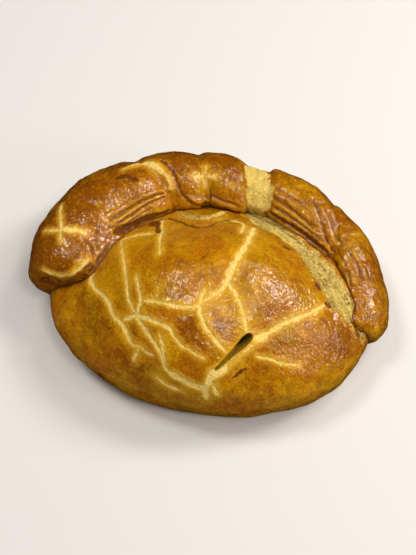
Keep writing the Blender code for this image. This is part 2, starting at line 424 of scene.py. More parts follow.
def route(pixels, form, widths, uneven=1.0):
    """Close points along a line drawn on a form, each with its half width and its distance on."""
    stops = [(seen_at(pixel, form), width / 2) for pixel, width in zip(pixels, widths)]
    stops = rounded([stop for stop in stops if stop[0] is not None])
    length = sum((after[0] - before[0]).length for before, after in zip(stops, stops[1:]))
    points = []
    gone = 0.0
    for (start, start_half), (end, end_half) in zip(stops, stops[1:]):
        stretch = (end - start).length
        steps = max(1, round(stretch / LINE_STEP))
        for step in range(steps + 1):
            place = start.lerp(end, step / steps)
            here = gone + stretch * step / steps
            wander, thickness = unevenness(place)
            ends = smooth_share(min(here, length - here), -LINE_TAPER / 4, LINE_TAPER)
            taper = between(1 - LINE_END_THINNING * uneven, 1, float(ends))
            half = between(start_half, end_half, step / steps)
            half *= max(LEAST_THICKNESS, 1 + uneven * thickness) * taper
            points.append((*(place + wander * LINE_WANDER * uneven), half, here))
        gone += stretch
    return points


def routes(lines, form):
    """The points of several lines, each of one width."""
    return [point for width, *pixels in lines for point in route(pixels, form, [width] * len(pixels))]


def strip_route(stops, form):
    """The points of a strip, whose stops each give a pixel and the strip's width there."""
    return route([stop[:2] for stop in stops], form, [stop[2] for stop in stops])


def patches(places, marks, form):
    """How brown the marks make each place, some of them with painted shade."""
    browned_and_shaded = np.zeros(len(places))
    for x, y, reach, share in marks:
        middle = seen_at((x, y), form)
        if middle is not None:
            browned_and_shaded += share * np.exp(-((places - np.array(middle)) ** 2).sum(1) / reach**2)
    return browned_and_shaded


def edge_distance(places, points):
    """How far each place lies outside the nearest line's edge, and the number of the point nearest to it."""
    line = np.array(points)
    outside = np.empty(len(places))
    nearest = np.empty(len(places), int)
    for first in range(0, len(places), PLACES_AT_ONCE):
        last = first + PLACES_AT_ONCE
        some = places[first:last]
        apart = np.sqrt(((some[:, None, :] - line[None, :, :3]) ** 2).sum(2)) - line[None, :, 3]
        nearest[first:last] = apart.argmin(1)
        outside[first:last] = apart.min(1)
    return outside, nearest


def plate_edge(place, size):
    """How far a place lies from the nearest edge between plates of about this size."""
    place = place + noise.noise_vector(place / PLATE_WANDER_SIZE) * PLATE_WANDER
    _, centres = noise.voronoi(place / size)
    apart = centres[1] - centres[0]
    middle = (centres[0] + centres[1]) / 2
    return abs((place / size - middle).dot(apart.normalized())) * size


def unseen_plates(places, normals, facing, heights, cover, seed):
    """How far each place lies outside the lines between plates, far where the photograph shows the crust."""
    lines = np.array([plate_edge(Vector(place), PLATE_SIZE) for place in places]) - PLATE_GAP / 2
    pattern = np.array([noise.noise(Vector(place) / COVER_SIZE + seed) for place in places])
    unseen = smooth_share(normals @ np.array(VIEW_BACK), *facing) * smooth_share(places[:, 2], *heights)
    unseen *= smooth_share(pattern, *cover)
    return lines + (1 - unseen) * NO_LINE_NEAR


def swelling(place, sizes, seed):
    """Small uneven relief, at several sizes."""
    return sum(height * noise.noise(place / size + seed) for size, height in sizes)


def raised_line(outside, middle, spread):
    """1 at this distance from a line, falling off smoothly to 0 each way."""
    return np.exp(-(((outside - middle) / spread) ** 2))


def vertex_arrays(bm):
    bm.normal_update()
    places = np.array([vertex.co for vertex in bm.verts])
    normals = np.array([vertex.normal for vertex in bm.verts])
    return places, normals


def fibre(across, along, seed):
    """Stringy relief of torn dough: long fibres that run along the tear."""
    return sum(
        share * noise.noise(Vector((across / width, along / length, seed + own)))
        for share, width, length, own in FIBRES
    )


def bitten(outside, places):
    """The distances from a torn place's edge, with small bites taken out of that edge."""
    return outside + BITE_DEPTH * np.array([noise.noise(Vector(place) / BITE_SIZE) for place in places])


def set_attribute(mesh, name, values):
    attribute = mesh.attributes.new(name, "FLOAT", "POINT")
    attribute.data.foreach_set("value", np.asarray(values, np.float32))


def shape_ball(bm, balls):
    for vertex in bm.verts:
        vertex.co = body_point(vertex[balls].normalized()) + OUTLINE_ORIGIN


def finer_near(bm, outside, band):
    """Halves the edges that lie within a band of the drawn lines."""
    close = outside < band
    edges = [edge for edge in bm.edges if close[edge.verts[0].index] and close[edge.verts[1].index]]
    bmesh.ops.subdivide_edges(bm, edges=edges, cuts=1, use_grid_fill=True)
    bmesh.ops.triangulate(bm, faces=[face for face in bm.faces if len(face.verts) > 3])
    bm.verts.index_update()


def hollows(bm, rounds):
    """How hollow the surface is at each point, in 1/mm: above 0 in a groove and below 0 on a ridge."""
    places, normals = vertex_arrays(bm)
    ends = np.array([[vertex.index for vertex in edge.verts] for edge in bm.edges])
    total = np.zeros(len(places))
    shares = np.zeros(len(places))
    for here, there in (ends.T, ends.T[::-1]):
        apart = places[there] - places[here]
        square = (apart**2).sum(1)
        np.add.at(total, here, 2 * (apart * normals[here]).sum(1) / square)
        np.add.at(shares, here, 1)
    value = total / shares / MILLIMETRES
    for _ in range(rounds):
        spread = value.copy()
        for here, there in (ends.T, ends.T[::-1]):
            np.add.at(spread, here, value[there])
        value = spread / (shares + 1)
    return value


def draw_lines(form):
    """The points of the body's splits, dark places, torn strips and steam slit."""
    tears = [point for strip in TORN_STRIPS for point in strip_route(strip, form)]
    slit = route(SLIT_ENDS, form, (SLIT_WIDE, SLIT_NARROW), SLIT_UNEVENNESS)
    return routes(SPLITS, form), routes(DARK_LINES, form), tears, slit


def slit_relief(places, normals, slit):
    """Each place's distance outside the steam slit, its depth in it, and how far the flap lifts it."""
    outside, nearest = edge_distance(places, slit)
    line = np.array(slit)
    way = line[-1, :3] - line[0, :3]
    way /= np.linalg.norm(way)
    beside = np.cross(way, normals)
    aside = ((places - line[nearest, :3]) * beside).sum(1)
    if np.dot(beside.mean(0), np.array(camera_axes(PHOTO_MIDDLE)[0])) < 0:
        aside = -aside
    within = smooth_share(outside, *SLIT_CUT)
    flap = raised_line(aside, FLAP_WIDTH / 2 + FLAP_OFFSET, FLAP_WIDTH / 2)
    flap *= smooth_share(outside, FLAP_WIDTH, FLAP_ROOT) * (1 - within)
    return outside, within * line[nearest, 3] / (SLIT_WIDE / 2), flap


def make_body():
    bm = bmesh.new()
    bmesh.ops.create_icosphere(bm, subdivisions=BALL_DETAIL, radius=1)
    balls = bm.verts.layers.float_vector.new("ball")
    for vertex in bm.verts:
        vertex[balls] = vertex.co
    shape_ball(bm, balls)
    form = BVHTree.FromBMesh(bm)
    splits, darks, tears, slit = draw_lines(form)
    for band in FINE_BANDS:
        places, _ = vertex_arrays(bm)
        outside, _ = edge_distance(places, splits + darks + tears + slit)
        finer_near(bm, outside, band)
        shape_ball(bm, balls)

    places, normals = vertex_arrays(bm)
    above_base = smooth_share(places[:, 2], *SKIRT_HEIGHTS)
    split, split_point = edge_distance(places, splits)
    plates = unseen_plates(places, normals, SKIRT_FACING, SKIRT_HEIGHTS, SKIRT_COVER, LUMP_SEED * 3)
    split = np.minimum(split, plates)
    dark, _ = edge_distance(places, darks)
    torn, torn_point = edge_distance(places, tears)
    torn_line = np.array(tears)[torn_point]
    torn = bitten(torn, places)
    in_torn = smooth_share(torn, *STRIP_WALL)
    fibres = np.array(
        [fibre(across, along, 0) for across, along in zip(torn + torn_line[:, 3], torn_line[:, 4])]
    )
    slit_outside, cut, flap = slit_relief(places, normals, slit)

    groove = np.minimum(np.array(splits)[split_point, 3], WIDEST_GROOVE) / GROOVE_GROWTH
    rise = np.array([swelling(Vector(place), SWELLINGS, LUMP_SEED) for place in places]) * above_base
    rise -= SPLIT_DEPTH * (NARROW_GROOVE_SHARE + groove) * smooth_share(split, *SPLIT_WALL)
    rise += SPLIT_LIP * raised_line(split, SPLIT_LIP_PLACE, SPLIT_LIP_SPREAD) * above_base
    rise -= DARK_DEPTH * smooth_share(dark, *DARK_WALL)
    rise -= TORN_DEPTH * in_torn
    rise += TORN_LIP * raised_line(torn, TORN_LIP_PLACE, TORN_LIP_SPREAD)
    rise += FIBRE_DEPTH * fibres * in_torn
    rise += FLAP_LIFT * flap - SLIT_DEPTH * cut
    for vertex, place, normal, height in zip(bm.verts, places, normals, rise):
        vertex.co = Vector(place + normal * height)
        vertex.co.z = max(0.0, vertex.co.z)
    hollow = hollows(bm, rounds=5)

    mesh = bpy.data.meshes.new("glazed_body")
    bm.to_mesh(mesh)
    bm.free()
    mesh.attributes.remove(mesh.attributes["ball"])
    set_attribute(mesh, "split", split * MILLIMETRES)
    set_attribute(mesh, "dark", dark * MILLIMETRES)
    set_attribute(mesh, "torn", torn * MILLIMETRES)
    set_attribute(mesh, "slit", slit_outside * MILLIMETRES)
    set_attribute(mesh, "browned_and_shaded", patches(places, BROWN_AND_SHADE_PATCHES, form))
    set_attribute(mesh, "flap", flap)
    set_attribute(mesh, "hollow", hollow)
    set_attribute(mesh, "streaks", fibres)
    mesh.shade_smooth()
    body = bpy.data.objects.new("glazed_body", mesh)
    bpy.context.scene.collection.objects.link(body)
    return body


def screen_colour(colour):
    """A shader's colour for one that the screen shows as these numbers of 255."""
    shares = [part / 255 for part in colour]
    return (*[share / 12.92 if share < 0.04045 else ((share + 0.055) / 1.055) ** 2.4 for share in shares], 1)


class Shades:
    """The nodes of one material, each made with its inputs."""

    def __init__(self, name):
        self.material = bpy.data.materials.new(name)
        self.material.use_nodes = True
        self.tree = self.material.node_tree
        self.shader = self.tree.nodes["Principled BSDF"]
        self.where = self.tree.nodes.new("ShaderNodeTexCoord").outputs["Object"]

    def put(self, value, socket):
        if isinstance(value, bpy.types.NodeSocket):
            self.tree.links.new(value, socket)
        else:
            socket.default_value = value

    def worked_out(self, operation, first, second=0.0):
        made = self.tree.nodes.new("ShaderNodeMath")
        made.operation = operation
        self.put(first, made.inputs[0])
        self.put(second, made.inputs[1])
        return made.outputs[0]

    def plus(self, first, second):
        return self.worked_out("ADD", first, second)

    def minus(self, first, second):
        return self.worked_out("SUBTRACT", first, second)

    def times(self, first, second):
        return self.worked_out("MULTIPLY", first, second)

    def larger(self, first, second):
        return self.worked_out("MAXIMUM", first, second)

    def share(self, value, start, end, low=0.0, high=1.0):
        """Turns a value's range from start to end smoothly into low to high."""
        made = self.tree.nodes.new("ShaderNodeMapRange")
        made.interpolation_type = "SMOOTHSTEP"
        self.put(value, made.inputs["Value"])
        self.put(start, made.inputs["From Min"])
        self.put(end, made.inputs["From Max"])
        self.put(low, made.inputs["To Min"])
        self.put(high, made.inputs["To Max"])
        return made.outputs[0]

    def mottle(self, size, detail=2.0, rough=0.5, where=None, twist=0.0):
        made = self.tree.nodes.new("ShaderNodeTexNoise")
        self.put(self.where if where is None else where, made.inputs["Vector"])
        made.inputs["Scale"].default_value = 1 / size
        made.inputs["Detail"].default_value = detail
        made.inputs["Roughness"].default_value = rough
        made.inputs["Distortion"].default_value = twist
        return made.outputs["Fac"]

    def attribute(self, name):
        made = self.tree.nodes.new("ShaderNodeAttribute")
        made.attribute_name = name
        return made.outputs["Fac"]

    def mix(self, share, first, second):
        """A colour between two, each another node's or given as the screen shows it."""
        made = self.tree.nodes.new("ShaderNodeMix")
        made.data_type = "RGBA"
        self.put(share, made.inputs[0])
        for colour, socket in ((first, made.inputs[6]), (second, made.inputs[7])):
            self.put(colour if isinstance(colour, bpy.types.NodeSocket) else screen_colour(colour), socket)
        return made.outputs[2]

    def blend(self, share, first, second):
        """A number between two."""
        made = self.tree.nodes.new("ShaderNodeMix")
        self.put(share, made.inputs[0])
        self.put(first, made.inputs[2])
        self.put(second, made.inputs[3])
        return made.outputs[0]

    def height(self):
        """The height above the table, in millimetres."""
        parts = self.tree.nodes.new("ShaderNodeSeparateXYZ")
        self.put(self.where, parts.inputs[0])
        return self.times(parts.outputs[2], MILLIMETRES)

    def squeezed(self, scale):
        """The place, with a pattern on it stretched along each axis that has a scale below 1."""
        made = self.tree.nodes.new("ShaderNodeMapping")
        self.put(self.where, made.inputs["Vector"])
        made.inputs["Scale"].default_value = scale
        return made.outputs[0]

    def raised(self, height, distance):
        made = self.tree.nodes.new("ShaderNodeBump")
        made.inputs["Strength"].default_value = 1
        made.inputs["Distance"].default_value = distance
        self.put(height, made.inputs["Height"])
        return made.outputs[0]


def baked_pastry(name):
    """Egg-washed pastry: golden to toasted where it is glazed, pale where it has split, matt underneath."""
    shades = Shades(name)
    stray = shades.minus(shades.mottle(STRAY_SIZE, 3), 0.5)
    split = shades.plus(shades.attribute("split"), shades.times(stray, SPLIT_STRAY))
    torn = shades.plus(shades.attribute("torn"), shades.times(stray, TORN_STRAY))
    dark = shades.plus(shades.attribute("dark"), shades.times(stray, DARK_STRAY))
    slit = shades.attribute("slit")
    hollow = shades.attribute("hollow")
    layers = shades.attribute("layers")
    streaks = shades.attribute("streaks")
    clouds = shades.mottle(CLOUD_SIZE, 3, 0.55, twist=0.6)
    olive = shades.mottle(OLIVE_SIZE, 2, twist=1.0)
    mottles = shades.mottle(MOTTLE_SIZE, 4, 0.65)
    grain = shades.mottle(GRAIN_SIZE, 3, 0.65)
    crumbs = shades.mottle(CRUMB_SIZE, 3, 0.75)
    leaves = shades.mottle(LEAF_SIZE, 3, 0.6, where=shades.squeezed(LEAF_SQUEEZE))

    # The baked crust: golden in clouds, browner inside a plate, shade painted in grooves, paler by splits.
    colour = shades.mix(shades.share(clouds, 0.36, 0.62), GOLDEN, AMBER)
    colour = shades.mix(shades.share(olive, 0.50, 0.66, 0, 0.8), colour, OLIVE_GOLD)
    # Browner by the patches, some of which are painted shade.
    brown = shades.plus(shades.share(split, 1.0, 4.5, -0.25, 0.25), shades.attribute("browned_and_shaded"))
    brown = shades.plus(brown, shades.times(shades.minus(mottles, 0.5), 2.2))
    colour = shades.mix(shades.share(brown, -0.05, 1.1), colour, TOASTED)
    colour = shades.mix(shades.share(brown, -0.15, -0.75, 0, 0.6), colour, PALE_GOLD)
    colour = shades.mix(shades.share(grain, 0.52, 0.66, 0, 0.55), colour, TOASTED)
    colour = shades.mix(shades.share(grain, 0.46, 0.34, 0, 0.36), colour, PALE_GOLD)
    # Painted shade in grooves, over egg wash that pools there, and a painted highlight on ridges.
    colour = shades.mix(shades.share(hollow, 0.12, 0.90, 0, 0.70), colour, BURNT)
    colour = shades.mix(shades.share(hollow, -0.10, -0.6, 0, 0.55), colour, PALE_GOLD)
    colour = shades.mix(shades.share(split, 2.4, 0.0, 0, 0.60), colour, HALO)
    cut_edge = shades.mix(shades.share(leaves, 0.40, 0.62), BURNT, AMBER)
    colour = shades.mix(shades.share(layers, 0.25, 0.75, 0, 0.9), colour, cut_edge)
    # Painted shade in the seam between roll and body, over egg wash that pools and burns there.
    in_tuck = shades.share(shades.attribute("tucked"), 0.25, 1.0, 0, 0.9)
    colour = shades.mix(in_tuck, colour, BURNT)
    colour = shades.mix(shades.times(shades.attribute("flap"), 0.9), colour, HALO)

    # The bare dough in splits and tears, the dark places with their painted shade, and the steam slit.
    in_split = shades.share(split, 0.45, -0.30)
    colour = shades.mix(in_split, colour, shades.mix(shades.share(crumbs, 0.28, 0.50), HALO, CREAM))
    dough = shades.mix(shades.share(streaks, 0.05, 0.70), GREY_DOUGH, BARE_DOUGH)
    dough = shades.mix(shades.share(crumbs, 0.50, 0.62, 0, 0.7), dough, CREAM)
    pits = shades.plus(crumbs, shades.times(streaks, 0.22))
    dough = shades.mix(shades.share(pits, 0.42, 0.26, 0, 0.75), dough, FLECK)
    in_torn = shades.share(torn, 0.35, -0.35)
    colour = shades.mix(in_torn, colour, dough)
    # Painted shade in crevices and creases, and juice that came through and burnt in spots.
    in_dark = shades.share(dark, 0.65, -0.30, 0, 0.88)
    colour = shades.mix(in_dark, colour, BURNT)
    in_slit = shades.share(slit, 0.25, -0.15)
    colour = shades.mix(in_slit, colour, SLIT_WALL)
    # Painted shadow deep in the steam slit.
    colour = shades.mix(shades.share(slit, -0.65, -1.2), colour, SLIT_SHADOW)

    # The base, which lay on the tray.
    under = shades.mix(shades.share(mottles, 0.25, 0.85), BASE_BROWN, BASE_DARK)
    under = shades.mix(shades.share(clouds, 0.40, 0.70, 0, 0.6), under, BASE_DARK)
    under = shades.mix(shades.share(grain, 0.45, 0.25, 0, 0.4), under, BASE_FLOURY)
    is_under = shades.share(shades.plus(shades.height(), shades.times(mottles, 6.0)), 5.6, 3.4)
    shades.put(shades.mix(is_under, colour, under), shades.shader.inputs["Base Color"])

    # The glaze, which is missing where the pastry is bare, dark or underneath.
    bare = shades.larger(in_split, in_torn)
    dull = shades.times(shades.larger(in_dark, in_tuck), DULL_SHARE)
    dry = shades.larger(shades.larger(bare, is_under), shades.larger(in_slit, dull))
    sheen = shades.share(shades.mottle(SHEEN_SIZE, 3, 0.6), 0.35, 0.7, *GLAZE_ROUGHNESS)
    shades.put(shades.blend(dry, sheen, DRY_ROUGHNESS), shades.shader.inputs["Roughness"])
    shades.put(shades.share(dry, 0.0, 0.8, GLAZE_COAT, 0.0), shades.shader.inputs["Coat Weight"])
    shades.shader.inputs["Coat Roughness"].default_value = GLAZE_COAT_ROUGHNESS
    shades.shader.inputs["Specular IOR Level"].default_value = GLAZE_SHINE
    shades.shader.inputs["Specular Tint"].default_value = GLAZE_TINT

    # The skin's own relief: a net of fine folds, blisters, the layers of a cut edge, and the dough's crumb.
    folds = shades.worked_out("ABSOLUTE", shades.minus(shades.mottle(FOLD_SIZE, 1, 0.5, twist=1.2), 0.5))
    skin = shades.times(folds, shades.share(clouds, 0.35, 0.60, -0.1, -0.35))
    skin = shades.plus(skin, shades.times(shades.mottle(BLISTER_SIZE, 2, 0.5), 0.44))
    skin = shades.plus(skin, shades.times(leaves, shades.times(layers, 0.9)))
    skin = shades.plus(skin, shades.times(shades.minus(crumbs, 0.5), bare))
    relief = shades.raised(skin, SKIN_RELIEF)
    shades.put(relief, shades.shader.inputs["Normal"])
    shades.put(relief, shades.shader.inputs["Coat Normal"])
    return shades.material


body = make_body()
pastry = baked_pastry("baked_pastry")
body.data.materials.append(pastry)


# The rolled edge. The two layers of pastry are pressed together and rolled over by hand, fold after fold,
# from the right to the left. The roll is glazed and browner than the body, and its folds' cut edges show as
# flaky ridges along the inner side. Between two folds it has burst, so that the bare dough inside shows.
CRIMP_LEFT_LENGTH = 0.0795
CRIMP_RIGHT_LENGTH = 0.0785
CRIMP_DEPTH = 0.0675
CRIMP_LEFT_SQUARENESS = 2.15
CRIMP_RIGHT_SQUARENESS = 1.95
CRIMP_HEIGHT_MIDDLE = 0.0215
CRIMP_HEIGHT_LEFT = 0.0210
CRIMP_HEIGHT_RIGHT = 0.0165
CRIMP_RADIUS_LEFT = 0.0215
CRIMP_RADIUS_RIGHT = 0.0132
CRIMP_FLATNESS = 1.0
CRIMP_CLEARANCE = 0.002
CRIMP_STEP = 0.5

# Each fold: where it starts and ends round the pasty in degrees, its size as a share of the roll's radius,
# how far each end leans, and how blunt its first end is. The core runs inside them all.
FOLDS = (
    ("end_fold", 188, 144, 0.99, 0, 14, 4.6),
    ("long_fold", 174, 116, 1.02, 6, 25, 2.6),
    ("middle_fold", 128, 98, 1.00, 20, 7, 2.6),
    ("split_fold", 106, 79.5, 1.00, 6, 16, 2.6),
    ("torn_fold", 72, 32, 1.00, 16, 44, 4.5),
    ("right_fold", 40, 3, 1.02, 40, 20, 3.0),
    ("tail_fold", 20, -8, 0.96, 16, 8, 2.6),
)
CORE = (177, 0, 0.74, 0, 0, 2.6)
LAST_END_BLUNTNESS = 3.8
FOLD_TAPER = 0.06
LIP_ANGLE = 30
GROOVE_ANGLE = 5
LIP_SPREAD = 12
LIP_SIZE = 0.07
GROOVE_SIZE = 0.05

FOLD_SIDES = 128
FOLD_RINGS = 120
CORE_RINGS = 300
FUSED_STEP = 0.00056

# Splits in the roll's crust, raised pale rims, flaky ridges and creases: each one's width and pixels.
ROLL_SPLITS = (
    (0.0009, (123, 255), (123.3, 263), (123, 271)),
    (0.0008, (115.5, 267), (119, 266.5), (123, 266)),
    (0.0022, (123, 265.8), (128, 266.2), (135, 267.5)),
    (0.0009, (192.5, 236), (192.8, 246)),
    (0.0007, (187, 241), (192.5, 241), (197, 240.5)),
)
ROLL_RIMS = (
    (0.0008, (153, 237.3), (158, 235.5), (163, 235)),
    (0.0024, (163, 235), (168, 235.8), (172, 238.8)),
    (0.0011, (172, 238.8), (174.8, 242.5), (176, 246.5)),
    (0.0007, (114.5, 284.8), (118.5, 287.2), (123.5, 288.2), (128.5, 287), (133, 284.2), (136, 281)),
)
ROLL_RIDGES = (
    (0.0009, (145, 259.5), (152, 256.2), (158, 252.6), (164, 249.8), (170, 247.6), (175, 247.2)),
    (0.0009, (149, 262), (155, 258.6), (161, 255), (167, 251.9), (173, 249.5)),
    (0.0009, (153, 263.3), (159, 260.2), (165, 256.6), (170, 254)),
    (0.0009, (225, 248.5), (232, 252.8), (239, 258), (244, 263.5)),
    (0.0009, (224, 253), (231, 257.2), (238, 262.5), (243, 268)),
    (0.0009, (225, 257.5), (233, 262), (241, 267.5), (247, 273)),
    (0.0009, (247, 256), (250, 262), (252, 268), (254, 273)),
    (0.0010, (252, 257.5), (255, 264), (257, 271)),
    (0.0009, (257, 280), (260.5, 286), (262.5, 292)),
    (0.0009, (262, 277), (266, 283), (268.5, 289)),
    (0.0010, (180, 249), (184, 251.8), (189, 253), (193, 252.5)),
    (0.0010, (196, 252.3), (203, 254.8), (209, 257.2)),
)
# The creases are painted dark: painted shade in them, with burnt juice along the roll's inner edge.
ROLL_CREASES = (
    (0.0009, (171, 233.5), (175.5, 236.5), (178, 241), (179.2, 246), (183, 251.5), (187.5, 254.5),
     (193, 256)),
    (0.0006, (194.3, 247), (194.5, 251), (194.5, 255.5)),
    (0.0005, (195, 250), (200, 252.2), (206, 254.2), (210, 255.5)),
    (0.0003, (190, 229.5), (193, 238)),
    (0.0003, (147, 261.7), (152.7, 258.2), (158.4, 254.6), (164.1, 251.5), (169.8, 249.1), (175, 248.3)),
    (0.0004, (150.8, 263.1), (156.5, 259.3), (162.2, 255.5), (167, 252.9), (172.7, 250.6)),
    (0.0003, (156, 262.5), (161, 259), (166, 256)),
    (0.0004, (146, 264.5), (150, 265), (154, 264)),
    (0.0004, (134, 269.5), (138, 275), (139.5, 279)),
    (0.0003, (129, 270), (133, 273)),
    (0.0003, (141, 266), (139.5, 272), (142, 276)),
    (0.0003, (136, 262), (142, 265)),
    (0.0003, (226, 246), (233, 250.4), (240, 256)),
    (0.0003, (224, 250.8), (231, 255), (238, 260.3), (243, 266)),
    (0.0004, (225, 255.4), (232, 259.6), (239.5, 265), (246, 271)),
    (0.0006, (243.5, 252), (246, 258), (247.5, 265), (249.5, 271), (253, 276.5)),
    (0.0004, (250.5, 258), (252.8, 265), (254.8, 271)),
    (0.0004, (255, 276), (258.5, 281.5), (260.5, 288), (261.5, 293)),
    (0.0003, (260.5, 277), (263.8, 282), (266.5, 288)),
    (0.0016, (223, 258), (228, 261.2), (234, 264.8), (240, 269), (246, 273.5), (251, 278.5), (255, 285)),
    (0.0011, (255, 285), (258.5, 291.5), (261, 298), (263, 305)),
    (0.0026, (149, 267.8), (155, 264.8), (162, 262), (168, 260), (175, 257.6)),
    (0.0008, (137.5, 286), (141.5, 280), (146, 273)),
)
ROLL_GAP = (
    (211.5, 233, 0.0060), (214.5, 238, 0.0084), (218, 243.5, 0.0098), (218.6, 250, 0.0100),
    (217.8, 256, 0.0092), (217.5, 264, 0.0080),
)
GAP_PALENESS = 0.80
GAP_TURNS = (50, 105)
GAP_MIDDLE_TURN = 75
GAP_REACH = 0.0006
GAP_WALL = (0.0004, -0.0004)
GAP_FIBRE_SHARE = 1.4
GAP_FIBRE_SEED = 3
ROLL_INSIDE = (0, 0.02, 0.03)
FIBRE_SPREAD = 0.06
FIBRE_STRETCH = 0.0002
ROLL_SPOTS = (
    (0.0020, (150.5, 241.5), (155, 240.3)),
    (0.0032, (156, 241.3), (159.5, 243)),
)
CUT_END = ((114.5, 287.5), (119, 290.5), (124.5, 291.7), (129.8, 290.5), (134, 287.5), (137.5, 283))
CUT_END_WIDTH = 0.0048
# Browner places on the roll; those at its left end also darken it where it turns from the light: painted
# shade.
ROLL_BROWN_AND_SHADE_PATCHES = (
    (114, 277, 0.012, 0.7), (124, 284, 0.007, 0.5), (155, 241, 0.005, 0.4), (133, 250, 0.011, 0.6),
    (122, 261, 0.009, 0.5), (150, 236, 0.010, 0.4), (180, 231, 0.011, 0.55), (203, 233, 0.009, 0.5),
    (184, 243, 0.005, 0.25), (222, 237, 0.010, 0.4), (258, 262, 0.007, 0.3), (272, 284, 0.008, 0.4),
    (174, 253.5, 0.005, -0.4), (190, 247, 0.005, -0.3), (204, 247, 0.005, -0.2), (235, 256, 0.006, -0.15),
    (258, 284, 0.006, -0.15), (147, 256, 0.005, -0.2), (128, 272, 0.004, -0.1), (168, 244, 0.006, -0.2),
)
RIM_LIFT = 0.0005
RIDGE_LIFT = 0.00055
CREASE_DEPTH = 0.0007
RIM_SPREAD = 0.0009
RIDGE_SPREAD = 0.0008
CREASE_WALL = (0.0008, -0.0003)
CUT_END_WALL = (0.0004, -0.0004)
ROLL_SWELLINGS = ((0.013, 0.00075), (0.006, 0.00045), (0.0028, 0.00026))
ROLL_BROWNNESS = 0.28

# How far from the seam between the roll and the body each is darkened: painted shade, over pooled egg wash.
BODY_TUCK = 0.0010
ROLL_TUCK = 0.0012

# The plates on the roll's far side, as on the body's skirt.
ROLL_FACING = (0.25, 0.0)
ROLL_HEIGHTS = (0.003, 0.007)
ROLL_COVER = (-0.05, 0.20)


def crimp_edge(angle):
    """A point of the line that the roll's outer side follows."""
    if cos(angle) > 0:
        reach = outline_radius(angle, CRIMP_RIGHT_LENGTH, CRIMP_DEPTH, CRIMP_RIGHT_SQUARENESS)
        end_height = CRIMP_HEIGHT_RIGHT
    else:
        reach = outline_radius(angle, CRIMP_LEFT_LENGTH, CRIMP_DEPTH, CRIMP_LEFT_SQUARENESS)
        end_height = CRIMP_HEIGHT_LEFT
    height = between(end_height, CRIMP_HEIGHT_MIDDLE, max(0.0, sin(angle)))
    return Vector((reach * cos(angle), reach * sin(angle), height))


def crimp_place(turn):
    """The roll's middle, its outward direction and its radius, at an angle round the pasty in degrees."""
    angle = radians(turn)
    step = radians(CRIMP_STEP)
    along = crimp_edge(angle - step) - crimp_edge(angle + step)
    outward = Vector((-along.y, along.x, 0)).normalized()
    radius = between(CRIMP_RADIUS_RIGHT, CRIMP_RADIUS_LEFT, ((1 - cos(angle)) / 2) ** 3)
    return crimp_edge(angle) - outward * radius, outward, radius


def fold_point(ball, first, last, size, first_lead, last_lead, first_bluntness):
    """Takes a point of a unit ball, whose axis is Z, to one fold of the roll."""
    blunt = LAST_END_BLUNTNESS if ball.z > 0 else first_bluntness
    round_end = max(1e-9, 1 - ball.z**2) ** 0.5
    full_end = max(0.0, 1 - abs(ball.z) ** blunt) ** (1 / blunt)
    round_from_inside = degrees(atan2(ball.y, -ball.x))
    section = 1 + LIP_SIZE * bump(round_from_inside, LIP_ANGLE, LIP_SPREAD)
    section -= GROOVE_SIZE * bump(round_from_inside, GROOVE_ANGLE, LIP_SPREAD)
    swell = size * (1 + FOLD_TAPER * ball.z) * section * full_end / round_end
    share = (ball.z + 1) / 2
    lead = between(first_lead, last_lead, share) * ball.x / 2
    middle, outward, radius = crimp_place(between(first, last, share) + lead)
    place = middle + outward * (radius * swell * ball.x)
    place.z = max(CRIMP_CLEARANCE, place.z + CRIMP_FLATNESS * radius * swell * ball.y)
    return place


def fold_ball(form, rings):
    bm = bmesh.new()
    bmesh.ops.create_uvsphere(bm, u_segments=FOLD_SIDES, v_segments=rings, radius=1)
    for vertex in bm.verts:
        vertex.co = fold_point(vertex.co.copy(), *form) + OUTLINE_ORIGIN
    bmesh.ops.recalc_face_normals(bm, faces=bm.faces)
    return bm


def fused(mesh, step):
    """One closed skin round all the shells of a mesh."""
    shells = bpy.data.objects.new("shells", mesh)
    bpy.context.scene.collection.objects.link(shells)
    skin = shells.modifiers.new("skin", "REMESH")
    skin.mode = "VOXEL"
    skin.voxel_size = step
    graph = bpy.context.evaluated_depsgraph_get()
    made = bpy.data.meshes.new_from_object(shells.evaluated_get(graph))
    bpy.data.objects.remove(shells)
    bpy.data.meshes.remove(mesh)
    return made


def nearest_source(places, sources):
    """For each place, its distance to the nearest point of each source."""
    apart = []
    for points in sources:
        tree = KDTree(len(points))
        for number, point in enumerate(points):
            tree.insert(point, number)
        tree.balance()
        apart.append([tree.find(place)[2] for place in places])
    return np.array(apart)


def add_shell(shells, form, rings):
    """Adds one fold, or the core, to the shells, and gives the points that it is made of."""
    bm = fold_ball(form, rings)
    part = bpy.data.meshes.new("shell")
    bm.to_mesh(part)
    shells.from_mesh(part)
    points = [vertex.co.copy() for vertex in bm.verts]
    bpy.data.meshes.remove(part)
    bm.free()
    return points


def torn_roll(places, turn, folds, core, form):
    """How far each place of the roll lies outside the burst between two folds."""
    to_fold, to_core = nearest_source(places, (folds, core))
    in_gap = (turn > GAP_TURNS[0]) & (turn < GAP_TURNS[1])
    torn = np.where(in_gap, to_core - to_fold + GAP_REACH, NO_LINE_NEAR)
    gap, _ = edge_distance(places, strip_route(ROLL_GAP, form))
    return bitten(np.minimum(torn, gap), places)


